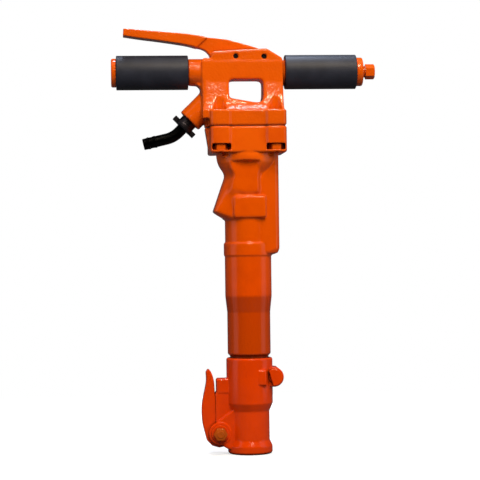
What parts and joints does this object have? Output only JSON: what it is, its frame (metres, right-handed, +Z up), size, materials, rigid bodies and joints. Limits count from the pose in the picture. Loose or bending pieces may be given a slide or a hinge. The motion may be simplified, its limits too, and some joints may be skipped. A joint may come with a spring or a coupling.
{
  "type": "pneumatic paving breaker",
  "caption": "Two-handed pneumatic breaker with a T handle, a throttle lever over one grip, an angled swivel hose stem, a flanged cylinder and a tool latch beside its nose.",
  "frame": {"origin": "on the tool's axis, in the plane of the nose face that the tool stands on", "axes": "+Z up along the tool's axis, +X along the handle towards the oil plug, +Y to the back"},
  "size_m": [0.3694, 0.094, 0.5935],
  "materials": {
    "orange_paint": "gloss",
    "head_paint": "gloss",
    "grip_rubber": "satin",
    "black_steel": "blackened",
    "zinc_alloy": "dull",
    "bare_steel": "ground",
    "seal_rubber": "matt",
    "gasket_fibre": "matt"
  },
  "bodies": {
    "tool": {"backhead": "orange_paint", "chuck_liner": "bare_steel", "cylinder": "orange_paint", "flange_bolt_1": "orange_paint", "flange_bolt_2": "orange_paint", "flange_bolt_3": "orange_paint", "flange_bolt_4": "orange_paint", "flange_gasket": "gasket_fibre", "flange_washer_1": "orange_paint", "flange_washer_2": "orange_paint", "flange_washer_3": "orange_paint", "flange_washer_4": "orange_paint", "front_head": "head_paint", "grip_left": "grip_rubber", "grip_right": "grip_rubber", "handle_cap": "orange_paint", "handle_collar": "orange_paint", "inlet_screen": "bare_steel", "latch_bolt": "orange_paint", "latch_nut": "orange_paint", "latch_spring": "bare_steel", "latch_washer": "orange_paint", "lever_pin": "bare_steel", "lock_bolt": "orange_paint", "lock_nut": "orange_paint", "lock_washer": "orange_paint", "oil_plug": "orange_paint", "stop_pin": "bare_steel", "swivel_seal": "seal_rubber", "throttle_plug": "bare_steel", "throttle_seat": "bare_steel", "throttle_spring": "bare_steel", "valve_cap": "bare_steel", "valve_dowel": "bare_steel", "valve_seat": "bare_steel", "valve_spring_washer": "bare_steel"},
    "throttle_lever": {"throttle_lever": "orange_paint"},
    "throttle_valve": {"throttle_valve": "bare_steel"},
    "latch": {"latch": "orange_paint"},
    "latch_plunger": {"latch_plunger": "bare_steel"},
    "swivel_stem": {"swivel_stem": "black_steel"},
    "swivel_nut": {"swivel_nut": "zinc_alloy"},
    "piston": {"piston": "bare_steel"},
    "valve_disc": {"valve_disc": "bare_steel"}
  },
  "joints": [
    {"name": "throttle_lever", "type": "hinge", "parent": "tool", "child": "throttle_lever", "pos_m": [0.0246, 0, 0.5532], "axis": [0, -1, 0], "range_deg": [0, 7], "stiffness_Nm_per_rad": 12.5, "springref_deg": -5.73},
    {"name": "throttle_valve", "type": "slide", "parent": "tool", "child": "throttle_valve", "axis": [0, 0, -1], "range_m": [0, 0.0079], "deforming": ["throttle_spring"]},
    {"name": "latch", "type": "hinge", "parent": "tool", "child": "latch", "pos_m": [-0.043, 0, 0.0296], "axis": [0, -1, 0], "range_deg": [0, 60], "stiffness_Nm_per_rad": 0.2, "springref_deg": -57.3},
    {"name": "latch_plunger", "type": "slide", "parent": "tool", "child": "latch_plunger", "axis": [0, 0, 1], "range_m": [0, 0.0037], "deforming": ["latch_spring"]},
    {"name": "swivel_stem", "type": "hinge", "parent": "tool", "child": "swivel_stem", "pos_m": [-0.0795, 0, 0.465], "axis": [-0.7071, 0, -0.7071], "continuous": true},
    {"name": "swivel_nut", "type": "hinge", "parent": "tool", "child": "swivel_nut", "pos_m": [-0.0795, 0, 0.465], "axis": [-0.7071, 0, -0.7071], "continuous": true},
    {"name": "piston", "type": "slide", "parent": "tool", "child": "piston", "axis": [0, 0, 1], "range_m": [0, 0.118]},
    {"name": "valve_disc", "type": "slide", "parent": "tool", "child": "valve_disc", "axis": [0, 0, 1], "range_m": [0, 0.0024]}
  ],
  "couplings": [
    {"joint": "throttle_valve", "follows": "throttle_lever", "m_per_rad": 0.0646},
    {"joint": "latch_plunger", "follows": "latch", "m_per_rad": 0.0035}
  ]
}
